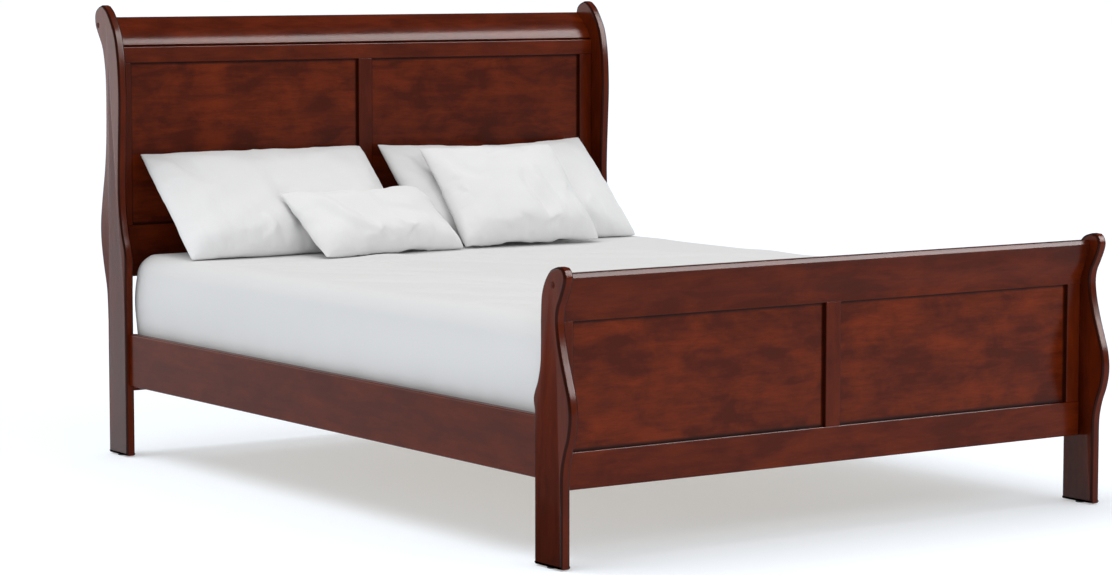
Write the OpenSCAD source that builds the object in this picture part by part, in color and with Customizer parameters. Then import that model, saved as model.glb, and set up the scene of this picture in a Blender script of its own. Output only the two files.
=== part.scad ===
// Sleigh bed, queen size: S-shaped end posts carrying two framed and panelled ends, side rails that
// hook into the posts, a slatted deck with a centre beam and a levelling leg, mattress and pillows.
// Millimetres. X across the bed, -Y towards the foot, +Z up, origin on the floor at the middle.

/* [Mattress] */
// Width of the mattress
mattress_w = 1524; // [1200:2:1930]
// Length of the mattress
mattress_l = 2032; // [1600:2:2500]
// Thickness of the mattress
mattress_t = 254; // [150:1:320]
// Radius of the mattress's upright corners
mattress_corner_r = 60; // [30:1:100]
// Gap between the mattress and each side rail
side_gap = 9.5; // [4:0.5:30]
// Gap between the mattress and the footboard
foot_gap = 4; // [2:1:30]
// Gap between the mattress and the headboard
head_gap = 25; // [4:1:60]

/* [Posts] */
// Height of the head posts
head_h = 1212; // [1170:1:1500]
// Height of the foot posts
foot_h = 669; // [650:1:900]
// Thickness of a post, across the bed
post_t = 25; // [22:0.5:40]

/* [Ends] */
// Thickness of the head and foot frames
frame_t = 20; // [16:0.5:28]
// Width of the stiles next to the posts
end_stile_w = 42; // [30:1:90]
// Width of the stile between the two panels
mid_stile_w = 44; // [30:1:90]
// Thickness of a panel
panel_t = 6; // [4:0.5:9]
// Depth of a panel's face behind its frame's face
panel_set_back = 10; // [6:0.5:12]
// Depth of the groove that holds a panel
groove_depth = 9; // [6:0.5:12]
// Height of the foot frame's lower edge above the floor
foot_frame_z = 168; // [130:1:190]
// Height of the lower rail in each end
low_rail_h = 84; // [60:1:110]
// Height of the headboard's middle rail above the floor
head_mid_rail_z = 480; // [420:1:520]
// Height of the headboard's middle rail
head_mid_rail_h = 139; // [90:1:180]
// Height of the headboard's top rail
head_top_rail_h = 43; // [30:1:80]

/* [Side rails] */
// Thickness of a side rail
rail_t = 22; // [20:0.5:30]
// Height of a side rail
rail_h = 141; // [110:1:150]
// Height of a side rail's lower edge above the floor
rail_z = 192; // [180:1:200]
// Step from a post's outer face to the side rail's
rail_inset = 11.5; // [6:0.5:14]

/* [Deck] */
// Number of slats
slat_count = 12; // [8:1:14]
// Width of a slat
slat_w = 90; // [60:1:110]
// Thickness of a slat
slat_t = 20; // [15:0.5:24]
// Thickness of the cleat that carries the slats
cleat_t = 22; // [18:0.5:30]
// Height of the cleat
cleat_h = 40; // [30:1:45]
// Step from the rail's lower edge to the cleat
cleat_rise = 34; // [10:1:40]
// Width of the centre beam
beam_w = 40; // [30:1:60]
// Height of the centre beam
beam_h = 60; // [50:1:70]
// Side of the square centre leg
leg_w = 45; // [40:1:60]
// Diameter of the levelling screw
leveller_d = 10; // [8:0.5:12]
// Diameter of the levelling foot
leveller_foot_d = 40; // [30:1:60]

/* [Pillows] */
// Gap between a large pillow and the edge of the mattress, and between the two pillows
pillow_gap = 36; // [10:1:80]
// Height of a large pillow along its lean
large_h = 408; // [360:1:420]
// Width of the square cushion
square_w = 440; // [400:1:480]
// Height of the square cushion along its lean
square_h = 375; // [340:1:400]
// Width of the small pillow
small_w = 470; // [400:1:500]
// Height of the small pillow along its lean
small_h = 272; // [240:1:300]

/* [Hidden] */
$fn = 48;

// Clearances
fit = 0.1;          // round a dowel, screw or bolt in its hole
joint_gap = 0.2;    // between boards that butt
soft_gap = 0.3;     // round the mattress and pillows
panel_play = 0.2;   // each side of a panel in its groove
eps = 1;            // how far a cutter runs past the face it cuts
lens_fn = 360;      // segments in a pillow's large arcs
blunt = 8;          // how far a pillow's pointed edges are cut back
side_bulge = 1.6;   // a pillow's side-to-side arcs are this much fatter, so they trim only its ends

// Colours
cherry = [0.42, 0.16, 0.10];
dark_cherry = [0.33, 0.12, 0.08];
pine = [0.80, 0.66, 0.46];
steel = [0.62, 0.63, 0.65];
black_plastic = [0.12, 0.12, 0.12];
cotton = [0.93, 0.93, 0.93];

// How far the S of each post reaches past the face of its frame, away from the bed's middle
foot_sweep = 83;
head_sweep = 80;

// Plan
post_x = mattress_w / 2 + side_gap + rail_t + rail_inset - post_t;   // a post's inner face
bed_w = 2 * (post_x + post_t);
bed_l = foot_sweep + frame_t + foot_gap + mattress_l + head_gap + head_sweep;
foot_y = -bed_l / 2 + foot_sweep;        // outer face of the foot frame
deck_foot_y = foot_y + frame_t;          // inner face of the foot frame
head_y = bed_l / 2 - head_sweep;         // inner face of the head frame
panel_y = panel_set_back;                // a panel's face behind its frame's face

// Outlines of the posts: [distance behind the frame's face, height], from the floor up the back
// edge, over the top and down the front edge. Heights near the top are counted from the top.
glide_h = 3;
foot_leg_front = -50;
foot_leg_back = 55;
head_leg_front = -79;
head_leg_back = frame_t + 5;
waist_back = frame_t + 1.5;             // the head post's back edge at its narrowest
foot_post_back = [
    [foot_leg_back, 345], [60, 371], [54, 391], [43, 414], [34, 452], [32, 500],
    [32, foot_h - 124], [30, foot_h - 78], [25, foot_h - 54], [14, foot_h - 31],
    [-6, foot_h - 9], [-33, foot_h]
];
foot_post_front = [
    [-49, foot_h - 1], [-58, foot_h - 9], [-63, foot_h - 25], [-58, foot_h - 44],
    [-46, foot_h - 70], [-35, foot_h - 92], [-31, foot_h - 120], [-36, foot_h - 158],
    [-48, 467], [-63, 424], [-78, 380], [-foot_sweep, 338], [-76, 296], [-61, 257],
    [-52, 220], [foot_leg_front, 185]
];
head_post_back = [
    [head_leg_back, 363], [head_leg_back + 5, 444], [48, 514], [60, 575], [61, 630], [50, 695], [34, 770],
    [waist_back + 3.5, head_h - 372], [waist_back, head_h - 290], [waist_back, head_h - 212],
    [waist_back + 5.5, head_h - 160],
    [39, head_h - 115], [60, head_h - 82], [75, head_h - 59], [head_sweep, head_h - 36],
    [75, head_h - 18], [61, head_h - 7], [40, head_h]
];
head_post_front = [
    [29, head_h - 2], [6, head_h - 18], [-17, head_h - 48], [-36, head_h - 81],
    [-48, head_h - 126], [-55, head_h - 180], [-58, head_h - 251], [-55, head_h - 325],
    [-50, 790], [-48, 710], [-53, 650], [-65, 597], [-78, 560], [-82, 525],
    [head_leg_front, 440]
];

// Sections of the crests, in the same two directions as the posts
foot_crest_drop = 126;      // from the post's top to the crest rail's lower edge
foot_crest_front = [
    [-25, foot_h - 17], [-30, foot_h - 20], [-31, foot_h - 27], [-26, foot_h - 42],
    [-18, foot_h - 67], [-8, foot_h - 92], [-1, foot_h - 112], [0, foot_h - foot_crest_drop]
];
foot_crest_back = [
    [frame_t, foot_h - foot_crest_drop], [frame_t - 1, foot_h - 112], [14, foot_h - 88],
    [6, foot_h - 56], [1, foot_h - 34], [-3, foot_h - 20], [-9, foot_h - 17]
];
head_crest_drop = 112;      // from the post's top to the crest's lower edge
quirk_h = 5;                // height of the dark groove under the head crest
quirk_y = 13;               // depth of that groove's back
head_crest_front = [
    [75, head_h - 33], [70, head_h - 36], [53, head_h - 50], [37, head_h - 63],
    [20, head_h - 83], [11, head_h - 98], [8, head_h - head_crest_drop + quirk_h]
];
head_crest_back = [
    [42, head_h - head_crest_drop], [49, head_h - 95], [61, head_h - 76], [73, head_h - 55]
];

// Heights
foot_panel_z = foot_frame_z + low_rail_h;
foot_panel_top = foot_h - foot_crest_drop;
head_panel_z = head_mid_rail_z + head_mid_rail_h;
head_top_rail_z = head_h - head_crest_drop - head_top_rail_h;
cleat_z = rail_z + cleat_rise;
slat_z = cleat_z + cleat_h;
deck_z = slat_z + slat_t;
beam_z = slat_z - beam_h;
mattress_z = deck_z + soft_gap;
mattress_top = mattress_z + mattress_t;

// Side rails
rail_outer_x = post_x + post_t - rail_inset;
rail_inner_x = rail_outer_x - rail_t;
rail_foot_y = foot_y + foot_leg_back + joint_gap;
rail_head_y = head_y + head_leg_front - joint_gap;
rail_mid_y = (rail_foot_y + rail_head_y) / 2;
cleat_end_gap = 30;         // from a rail's end to its cleat
cleat_l = rail_head_y - rail_foot_y - 2 * cleat_end_gap;

// Hook plates in the rail ends and the slotted plates they hang in
hook_x = (post_x + rail_outer_x) / 2;    // middle of the strip where rail and post meet
plate_w = 11;
plate_h = 108;
plate_t = 3;
plate_z = rail_z + rail_h / 2;
hook_t = 3;
crest_dowel_rise = 26;      // from the crest rail's lower edge to its upper dowel
hook_rise = 26;             // from the plate's middle to a hook's middle
hook_h = 16;
hook_reach = 9;             // past the rail's end
hook_drop = 7;
slot_clear = 0.5;
pocket_w = 7;
pocket_l = 12;
pocket_h = 34;
plate_screw_rise = 47;

// Screws and dowels
screw_r = 2;
screw_head_r = 4;
screw_head_h = 2.5;
cleat_screw_l = 36;
cleat_screw_count = 7;
slat_screw_l = 40;
slat_screw_x = rail_inner_x - cleat_t / 2;
plate_screw_l = 22;
plate_screw_r = 1.75;
dowel_r = 4;
dowel_in_post = 14;
dowel_in_rail = 26;
glide_inset = 1;            // from a post's side face to its glide's edge
bracket_screw_low = 6;      // from the beam's underside to a bracket's lower screw
bracket_screw_top = 10;     // from a bracket's top edge to its upper screw
bracket_screw_short = 3;    // what a bracket screw leaves of the frame's thickness
pilot_run = 2;              // how much wider than its screw the leveller's pilot hole is
pillow_in = 6;              // how far a sleeping pillow sits in from its half's middle
crest_screw_l = 55;
plug_r = 7;
plug_t = 5;
crest_screw_head_l = 5;
crest_screw_head_r = 5;

// Where each crest screw goes: [distance behind the frame's face, height]
foot_crest_screw = [-17, foot_h - 41];
head_crest_screw = [60, head_h - 54];

// Where each frame's dowels go: [distance behind the frame's face, height]
foot_dowels = [
    [frame_t / 2, foot_frame_z + low_rail_h / 4], [frame_t / 2, foot_frame_z + low_rail_h * 3 / 4],
    [frame_t / 2 - 1, foot_h - foot_crest_drop + crest_dowel_rise]
];
head_dowels = [
    [frame_t / 2, foot_frame_z + low_rail_h / 4], [frame_t / 2, foot_frame_z + low_rail_h * 3 / 4],
    [frame_t / 2, head_mid_rail_z + head_mid_rail_h / 4],
    [frame_t / 2, head_mid_rail_z + head_mid_rail_h * 3 / 4],
    [frame_t / 2, head_top_rail_z + head_top_rail_h / 2]
];

// Centre beam, its brackets, its leg and the leveller
beam_end_gap = 1;
bracket_t = 2;
bracket_play = 0.3;         // between the beam and its bracket
bracket_l = 50;
bracket_side_h = 40;
bracket_tab_w = 24;
leg_foot_z = 32;            // lower end of the wooden leg
leg_bolt_r = 4;
leg_bolt_up = 40;
leg_bolt_down = 45;
insert_r = 8;
insert_l = 22;
insert_flange_r = 14;
insert_flange_t = 2;
foot_pad_t = 9;
foot_socket_depth = 5;
screw_run = 0.06;           // running clearance round the levelling screw
screw_l = 52;
screw_hex_r = 9;
screw_hex_h = 6;
screw_hex_z = 13;
pilot_l = 60;               // depth of the leg's hole above its lower end

// Slats
slat_end_gap = 1.5;
slat_edge = 22;             // from the rail's end to the first slat
slat_first_y = rail_foot_y + cleat_end_gap + slat_edge;
slat_last_y = rail_head_y - cleat_end_gap - slat_edge - slat_w;
slat_step = (slat_last_y - slat_first_y) / (slat_count - 1);

// Pillows: [x of the lower edge's middle, distance in front of the head frame, lean, turn]
large_w = mattress_w / 2 - 2 * pillow_gap;
pillow_shift = 10;          // both large pillows lie a little to the left
pillow_left_place = [-mattress_w / 4 + pillow_in - pillow_shift, 320, 41.5, -1.5];
pillow_right_place = [mattress_w / 4 - pillow_in - pillow_shift, 318, 42, -1.5];
square_place = [290, 417, 44, -3];
small_place = [-172, 442, 36, 5];
large_front = 44;
large_back = 45;
square_front = 58;
square_back = 14;
small_front = 48;
small_back = 12;

// A point on the smooth curve from b to c, with a and d as the points before and after
function on_curve(a, b, c, d, t) =
    0.5 * (2 * b + t * (c - a) + t * t * (2 * a - 5 * b + 4 * c - d)
    + t * t * t * (3 * b - a - 3 * c + d));

// A smooth curve through every point of a list
function smooth(p, steps = 5) = concat(
    [for (i = [0:len(p) - 2], s = [0:steps - 1])
        on_curve(p[max(i - 1, 0)], p[i], p[i + 1], p[min(i + 2, len(p) - 1)], s / steps)],
    [p[len(p) - 1]]
);

// The slats' lower-left corners run from the foot to the head
function slat_y(i) = slat_first_y + i * slat_step;

// Draw a section given as [y, z] as a bar along X from x0 to x1, from the plane at y0
module bar_x(section, x0, x1, y0) {
    translate([x0, y0, 0])
        rotate([90, 0, 90])
            linear_extrude(x1 - x0)
                polygon(section);
}

// A box from one corner to the opposite one
module box(low, high) {
    translate(low)
        cube(high - low);
}

// The same thing on the left and the right
module both_sides() {
    children();
    mirror([1, 0, 0])
        children();
}

// A countersunk screw with its head's top at the origin and its point down; grow makes its hole
module screw(length, r = screw_r, head_r = screw_head_r, grow = 0) {
    translate([0, 0, -length - grow])
        cylinder(r = r + grow, h = length + 2 * grow);
    translate([0, 0, -screw_head_h])
        cylinder(r1 = r + grow, r2 = head_r + grow, h = screw_head_h);
}

// Dowels that join an end frame to the right-hand post
module dowel_row(places, y0, grow = 0) {
    for (p = places)
        translate([post_x - dowel_in_rail - grow, y0 + p[0], p[1]])
            rotate([0, 90, 0])
                cylinder(r = dowel_r + grow, h = dowel_in_rail + dowel_in_post + 2 * grow);
}

module all_dowels(grow = 0) {
    dowel_row(foot_dowels, foot_y, grow);
    dowel_row(head_dowels, head_y, grow);
}

// The screw through the right-hand post into a crest, with the plug's seat when it is grown
module crest_screw(place, y0, grow = 0) {
    translate([post_x + post_t - plug_t, y0 + place[0], place[1]])
        rotate([0, 90, 0]) {
            translate([0, 0, -crest_screw_l - grow])
                cylinder(r = screw_r + grow, h = crest_screw_l);
            translate([0, 0, -crest_screw_head_l - grow])
                cylinder(r = crest_screw_head_r + grow, h = crest_screw_head_l + grow);
        }
}

module plug_seat(place, y0) {
    translate([post_x + post_t - plug_t, y0 + place[0], place[1]])
        rotate([0, 90, 0])
            cylinder(r = plug_r, h = plug_t + eps);
}

module all_crest_screws(grow = 0) {
    crest_screw(foot_crest_screw, foot_y, grow);
    crest_screw(head_crest_screw, head_y, grow);
}

// Everything cut from a right-hand post
module post_cuts() {
    all_dowels(fit);
    all_crest_screws(fit);
    plug_seat(foot_crest_screw, foot_y);
    plug_seat(head_crest_screw, head_y);
}

// Do something at the foot and the head joint of the right-hand rail; the children's +Y runs
// from the rail into the post
module at_rail_ends() {
    translate([hook_x, rail_foot_y, plate_z])
        mirror([0, 1, 0])
            children();
    translate([hook_x, rail_head_y, plate_z])
        children();
}

// A plate's outline, its face on the plane y = 0 and its body on the -Y side
module plate_blank(grow = 0) {
    box([-plate_w / 2 - grow, -plate_t, -plate_h / 2 - grow],
        [plate_w / 2 + grow, 0, plate_h / 2 + grow]);
}

// Screws that hold the rail's plate, heads towards +Y
module rail_plate_screws(grow = 0) {
    for (z = [-plate_screw_rise, plate_screw_rise])
        translate([0, 0, z])
            rotate([-90, 0, 0])
                screw(plate_screw_l, plate_screw_r, screw_head_r, grow);
}

// Screws that hold the post's plate, heads towards -Y
module post_plate_screws(grow = 0) {
    for (z = [-plate_screw_rise, plate_screw_rise])
        translate([0, joint_gap, z])
            rotate([90, 0, 0])
                screw(plate_screw_l, plate_screw_r, screw_head_r, grow);
}

module hook_plate() {
    difference() {
        plate_blank();
        rail_plate_screws(fit);
    }
    for (z = [-hook_rise, hook_rise]) {
        box([-hook_t / 2, -plate_t / 2, z - hook_h / 2], [hook_t / 2, hook_reach, z + hook_h / 2]);
        box([-hook_t / 2, joint_gap + plate_t + soft_gap, z - hook_h / 2 - hook_drop],
            [hook_t / 2, hook_reach, z]);
    }
}

module slot_plate() {
    difference() {
        translate([0, joint_gap + plate_t, 0])
            plate_blank();
        for (z = [-hook_rise, hook_rise])
            box([-hook_t / 2 - slot_clear, -eps, z - hook_h / 2 - slot_clear],
                [hook_t / 2 + slot_clear, plate_t + eps, z + hook_h / 2 + hook_drop + slot_clear]);
        post_plate_screws(fit);
    }
}

// The recess for a slotted plate and the pockets behind it
module slot_plate_cut() {
    translate([0, joint_gap + plate_t, 0])
        plate_blank(fit);
    box([-plate_w / 2 - fit, -eps, -plate_h / 2 - fit], [plate_w / 2 + fit, joint_gap + eps,
        plate_h / 2 + fit]);
    for (z = [-hook_rise, hook_rise])
        box([-pocket_w / 2, plate_t / 2, z - pocket_h / 2], [pocket_w / 2, pocket_l, z + pocket_h / 2]);
    post_plate_screws(fit);
}

module hook_plate_cut() {
    box([-plate_w / 2 - fit, -plate_t - fit, -plate_h / 2 - fit],
        [plate_w / 2 + fit, eps, plate_h / 2 + fit]);
    rail_plate_screws(fit);
}

// Right-hand posts
module foot_post() {
    outline = concat([[foot_leg_front, glide_h], [foot_leg_back, glide_h]], smooth(foot_post_back),
        smooth(foot_post_front));
    difference() {
        bar_x(outline, post_x, post_x + post_t, foot_y);
        post_cuts();
        at_rail_ends() slot_plate_cut();
    }
}

module head_post() {
    outline = concat([[head_leg_front, glide_h], [head_leg_back, glide_h]], smooth(head_post_back),
        smooth(head_post_front));
    difference() {
        bar_x(outline, post_x, post_x + post_t, head_y);
        post_cuts();
        at_rail_ends() slot_plate_cut();
    }
}

// A frame member across the bed, with grooves in its upper and lower edges where asked
module cross_rail(y0, z0, height, groove_top, groove_bottom) {
    difference() {
        box([-post_x, y0, z0], [post_x, y0 + frame_t, z0 + height]);
        if (groove_top)
            groove_x(y0, z0 + height - groove_depth);
        if (groove_bottom)
            groove_x(y0, z0 - eps);
        both_sides()
            all_dowels(fit);
    }
}

// The groove that a panel and the stiles' tongues stand in
module groove_x(y0, z0) {
    box([-post_x + end_stile_w - groove_depth, y0 + panel_y - panel_play, z0],
        [post_x - end_stile_w + groove_depth, y0 + panel_y + panel_t + panel_play,
        z0 + groove_depth + eps]);
}

// An upright between two rails, with a tongue at each end and grooves for the panels
module stile(x0, x1, y0, z0, z1, groove_left, groove_right) {
    tongue = groove_depth - panel_play;
    difference() {
        union() {
            box([x0, y0, z0], [x1, y0 + frame_t, z1]);
            box([max(x0, -post_x + end_stile_w - groove_depth + panel_play), y0 + panel_y,
                z0 - tongue],
                [min(x1, post_x - end_stile_w + groove_depth - panel_play), y0 + panel_y + panel_t,
                z1 + tongue]);
        }
        for (side = [[groove_left, x0 - eps, x0 + groove_depth],
            [groove_right, x1 - groove_depth, x1 + eps]])
            if (side[0])
                box([side[1], y0 + panel_y - panel_play, z0 - groove_depth - eps],
                    [side[2], y0 + panel_y + panel_t + panel_play, z1 + groove_depth + eps]);
    }
}

module end_stile(y0, z0, z1) {
    stile(post_x - end_stile_w, post_x - joint_gap, y0, z0, z1, true, false);
}

module centre_stile(y0, z0, z1) {
    stile(-mid_stile_w / 2, mid_stile_w / 2, y0, z0, z1, true, true);
}

// The right-hand panel, loose in its grooves
module panel(y0, z0, z1) {
    grip = groove_depth - 2 * panel_play;
    box([mid_stile_w / 2 - grip, y0 + panel_y, z0 - grip],
        [post_x - end_stile_w + grip, y0 + panel_y + panel_t, z1 + grip]);
}

// Headboard
module head_post_left() { color(cherry) mirror([1, 0, 0]) head_post(); }
module head_post_right() { color(cherry) head_post(); }

module head_crest() {
    section = concat(
        [[quirk_y, head_h - head_crest_drop], [head_crest_back[0][0], head_h - head_crest_drop]],
        smooth(head_crest_back), smooth(head_crest_front),
        [[quirk_y, head_h - head_crest_drop + quirk_h]]);
    color(cherry)
        difference() {
            bar_x(section, -post_x, post_x, head_y);
            both_sides()
                all_crest_screws(fit);
        }
}

module head_top_rail() {
    color(cherry)
        cross_rail(head_y, head_top_rail_z, head_top_rail_h, false, true);
}

module head_middle_rail() {
    color(cherry)
        cross_rail(head_y, head_mid_rail_z, head_mid_rail_h, true, false);
}

module head_lower_rail() {
    color(dark_cherry)
        difference() {
            cross_rail(head_y, foot_frame_z, low_rail_h, false, false);
            beam_bracket_screws(fit);
        }
}

module head_stile_left() {
    color(cherry)
        mirror([1, 0, 0])
            end_stile(head_y, head_panel_z, head_top_rail_z);
}

module head_stile_centre() {
    color(cherry)
        centre_stile(head_y, head_panel_z, head_top_rail_z);
}

module head_stile_right() {
    color(cherry)
        end_stile(head_y, head_panel_z, head_top_rail_z);
}

module head_panel_left() {
    color(cherry)
        mirror([1, 0, 0])
            panel(head_y, head_panel_z, head_top_rail_z);
}

module head_panel_right() {
    color(cherry)
        panel(head_y, head_panel_z, head_top_rail_z);
}

// Footboard: its outer face is the -Y one, so its panels are set back towards the mattress
module foot_post_left() { color(cherry) mirror([1, 0, 0]) foot_post(); }
module foot_post_right() { color(cherry) foot_post(); }

module foot_crest_rail() {
    section = concat(smooth(foot_crest_back), smooth(foot_crest_front));
    color(cherry)
        difference() {
            bar_x(section, -post_x, post_x, foot_y);
            groove_x(foot_y, foot_panel_top - eps);
            both_sides() {
                all_dowels(fit);
                all_crest_screws(fit);
            }
        }
}

module foot_lower_rail() {
    color(cherry)
        difference() {
            cross_rail(foot_y, foot_frame_z, low_rail_h, true, false);
            beam_bracket_screws(fit);
        }
}

module foot_stile_left() {
    color(cherry)
        mirror([1, 0, 0])
            end_stile(foot_y, foot_panel_z, foot_panel_top);
}

module foot_stile_centre() {
    color(cherry)
        centre_stile(foot_y, foot_panel_z, foot_panel_top);
}

module foot_stile_right() {
    color(cherry)
        end_stile(foot_y, foot_panel_z, foot_panel_top);
}

module foot_panel_left() {
    color(cherry)
        mirror([1, 0, 0])
            panel(foot_y, foot_panel_z, foot_panel_top);
}

module foot_panel_right() {
    color(cherry)
        panel(foot_y, foot_panel_z, foot_panel_top);
}

// Side rails, cleats and the plates that hang them on the posts
module side_rail() {
    difference() {
        box([rail_inner_x, rail_foot_y, rail_z], [rail_outer_x, rail_head_y, rail_z + rail_h]);
        at_rail_ends() hook_plate_cut();
        cleat_screw_row(fit);
    }
}

module cleat() {
    difference() {
        box([rail_inner_x - cleat_t, rail_foot_y + cleat_end_gap, cleat_z],
            [rail_inner_x, rail_head_y - cleat_end_gap, cleat_z + cleat_h]);
        cleat_screw_row(fit);
        slat_screw_row(fit);
    }
}

module cleat_screw_row(grow = 0) {
    step = (cleat_l - slat_w) / (cleat_screw_count - 1);
    for (i = [0:cleat_screw_count - 1])
        translate([rail_inner_x - cleat_t, rail_mid_y + (i - (cleat_screw_count - 1) / 2) * step,
            cleat_z + cleat_h / 3])
            rotate([0, -90, 0])
                screw(cleat_screw_l, grow = grow);
}

module slat_screw_row(grow = 0) {
    for (i = [0:slat_count - 1])
        translate([slat_screw_x, slat_y(i) + slat_w / 3, deck_z])
            screw(slat_screw_l, grow = grow);
}

module side_rail_left() { color(cherry) mirror([1, 0, 0]) side_rail(); }
module side_rail_right() { color(cherry) side_rail(); }
module cleat_left() { color(pine) mirror([1, 0, 0]) cleat(); }
module cleat_right() { color(pine) cleat(); }
module cleat_screws() { color(steel) both_sides() cleat_screw_row(); }
module hook_plates() { color(steel) both_sides() at_rail_ends() hook_plate(); }
module slot_plates() { color(steel) both_sides() at_rail_ends() slot_plate(); }

module plate_screws() {
    color(steel)
        both_sides()
            at_rail_ends() {
                rail_plate_screws();
                post_plate_screws();
            }
}

module frame_dowels() { color(pine) both_sides() all_dowels(); }
module crest_screws() { color(steel) both_sides() all_crest_screws(); }

module post_plugs() {
    color(dark_cherry)
        both_sides()
            for (p = [[foot_crest_screw, foot_y], [head_crest_screw, head_y]])
                translate([post_x + post_t - plug_t + joint_gap, p[1] + p[0][0], p[0][1]])
                    rotate([0, 90, 0])
                        cylinder(r = plug_r - fit, h = plug_t - joint_gap);
}

// One round glide under each post
module floor_glides() {
    glide_r = post_t / 2 - glide_inset;
    color(black_plastic)
        both_sides()
            for (y = [foot_y + (foot_leg_front + foot_leg_back) / 2,
                head_y + (head_leg_front + head_leg_back) / 2])
                translate([post_x + post_t / 2, y, 0])
                    cylinder(r = glide_r, h = glide_h);
}

// Centre beam between the two lower rails
module centre_beam() {
    color(pine)
        difference() {
            box([-beam_w / 2, deck_foot_y + beam_end_gap + bracket_t, beam_z],
                [beam_w / 2, head_y - beam_end_gap - bracket_t, slat_z]);
            centre_leg_bolt(fit);
        }
}

// The saddle that holds the beam's foot end, open above; its back lies on the rail
module beam_bracket() {
    side_x = beam_w / 2 + bracket_play;
    low = beam_z - bracket_play;
    difference() {
        union() {
            box([-side_x - bracket_tab_w, deck_foot_y, low - bracket_t],
                [side_x + bracket_tab_w, deck_foot_y + bracket_t, low + bracket_side_h]);
            box([-side_x - bracket_t, deck_foot_y, low - bracket_t],
                [side_x + bracket_t, deck_foot_y + bracket_l, low]);
            both_sides()
                box([side_x, deck_foot_y, low - bracket_t],
                    [side_x + bracket_t, deck_foot_y + bracket_l, low + bracket_side_h]);
        }
        beam_bracket_screws(fit);
    }
}

// Four screws to a bracket, at the foot and the head
module beam_bracket_screws(grow = 0) {
    x = beam_w / 2 + bracket_play + bracket_t + (bracket_tab_w - bracket_t) / 2;
    for (end = [0, 1])
        translate([0, end * (deck_foot_y + head_y), 0])
            mirror([0, end, 0])
                for (sx = [-x, x], z = [beam_z + bracket_screw_low, beam_z + bracket_side_h - bracket_screw_top])
                    translate([sx, deck_foot_y + bracket_t, z])
                        rotate([-90, 0, 0])
                            screw(frame_t - bracket_screw_short, grow = grow);
}

module beam_brackets() {
    color(steel) {
        beam_bracket();
        translate([0, deck_foot_y + head_y, 0])
            mirror([0, 1, 0])
                beam_bracket();
    }
}

module bracket_screws() { color(steel) beam_bracket_screws(); }

// The leg under the beam's middle, with a threaded sleeve for the leveller
module centre_leg() {
    color(pine)
        difference() {
            box([-leg_w / 2, -leg_w / 2, leg_foot_z], [leg_w / 2, leg_w / 2, beam_z]);
            centre_leg_bolt(fit);
            translate([0, 0, leg_foot_z - eps])
                cylinder(r = insert_r + fit, h = insert_l + eps);
            translate([0, 0, leg_foot_z])
                cylinder(d = leveller_d + pilot_run, h = pilot_l);
        }
}

module centre_leg_bolt(grow = 0) {
    translate([0, 0, beam_z - leg_bolt_down - grow])
        cylinder(r = leg_bolt_r + grow, h = leg_bolt_down + leg_bolt_up + 2 * grow);
}

module leg_bolt() { color(steel) centre_leg_bolt(); }

module leg_insert() {
    color(steel)
        difference() {
            union() {
                translate([0, 0, leg_foot_z])
                    cylinder(r = insert_r, h = insert_l);
                translate([0, 0, leg_foot_z - insert_flange_t])
                    cylinder(r = insert_flange_r, h = insert_flange_t);
            }
            translate([0, 0, leg_foot_z - insert_flange_t - eps])
                cylinder(d = leveller_d + 2 * screw_run, h = insert_l + insert_flange_t + 2 * eps);
        }
}

module leveller_screw() {
    low = foot_pad_t - foot_socket_depth + joint_gap;
    color(steel) {
        translate([0, 0, low])
            cylinder(d = leveller_d, h = screw_l);
        translate([0, 0, screw_hex_z])
            cylinder(r = screw_hex_r, h = screw_hex_h, $fn = 6);
    }
}

module leveller_foot() {
    color(black_plastic)
        difference() {
            cylinder(d = leveller_foot_d, h = foot_pad_t);
            translate([0, 0, foot_pad_t - foot_socket_depth])
                cylinder(d = leveller_d + 2 * screw_run, h = foot_socket_depth + eps);
        }
}

// Slats, from the foot to the head
module slat(i) {
    color(pine)
        difference() {
            box([-rail_inner_x + slat_end_gap, slat_y(i), slat_z],
                [rail_inner_x - slat_end_gap, slat_y(i) + slat_w, deck_z]);
            both_sides()
                slat_screw_row(fit);
        }
}

module slat_screws() { color(steel) both_sides() slat_screw_row(); }

// Mattress
module mattress() {
    x = mattress_w / 2 - mattress_corner_r;
    y0 = deck_foot_y + foot_gap;
    color(cotton)
        translate([0, y0 + mattress_l / 2, mattress_z])
            linear_extrude(mattress_t) {
                square([mattress_w - 2 * mattress_corner_r, mattress_l], center = true);
                square([mattress_w, mattress_l - 2 * mattress_corner_r], center = true);
                for (sx = [-x, x], sy = [-1, 1])
                    translate([sx, sy * (mattress_l / 2 - mattress_corner_r)])
                        circle(r = mattress_corner_r);
            }
}

// Radius of an arc that rises so far over a chord
function arc_r(chord, rise) = (chord * chord / 4 + rise * rise) / (2 * rise);

// How high such an arc stands at a blunt edge, cut a little way in from the chord's end
function edge_rise(chord, rise) =
    sqrt(pow(arc_r(chord, rise), 2) - pow(chord / 2 - blunt, 2)) - arc_r(chord, rise) + rise;

// A flat shape with an arc above and one below a chord along X, its pointed ends cut off at
// 0 and length
module lens(length, above, below) {
    chord = length + 2 * blunt;
    intersection() {
        translate([0, -below])
            square([length, above + below]);
        translate([length / 2, above - arc_r(chord, above)])
            circle(r = arc_r(chord, above), $fn = lens_fn);
        translate([length / 2, arc_r(chord, below) - below])
            circle(r = arc_r(chord, below), $fn = lens_fn);
    }
}

// A pillow lying in XY with its lower edge's middle at the origin, thick in the middle
module pillow_body(w, h, front, back) {
    intersection() {
        translate([-w / 2, 0, 0])
            rotate([90, 0, 90])
                linear_extrude(w)
                    lens(h, front, back);
        translate([-w / 2, h, 0])
            rotate([90, 0, 0])
                linear_extrude(h)
                    lens(w, side_bulge * front, side_bulge * back);
    }
}

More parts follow.
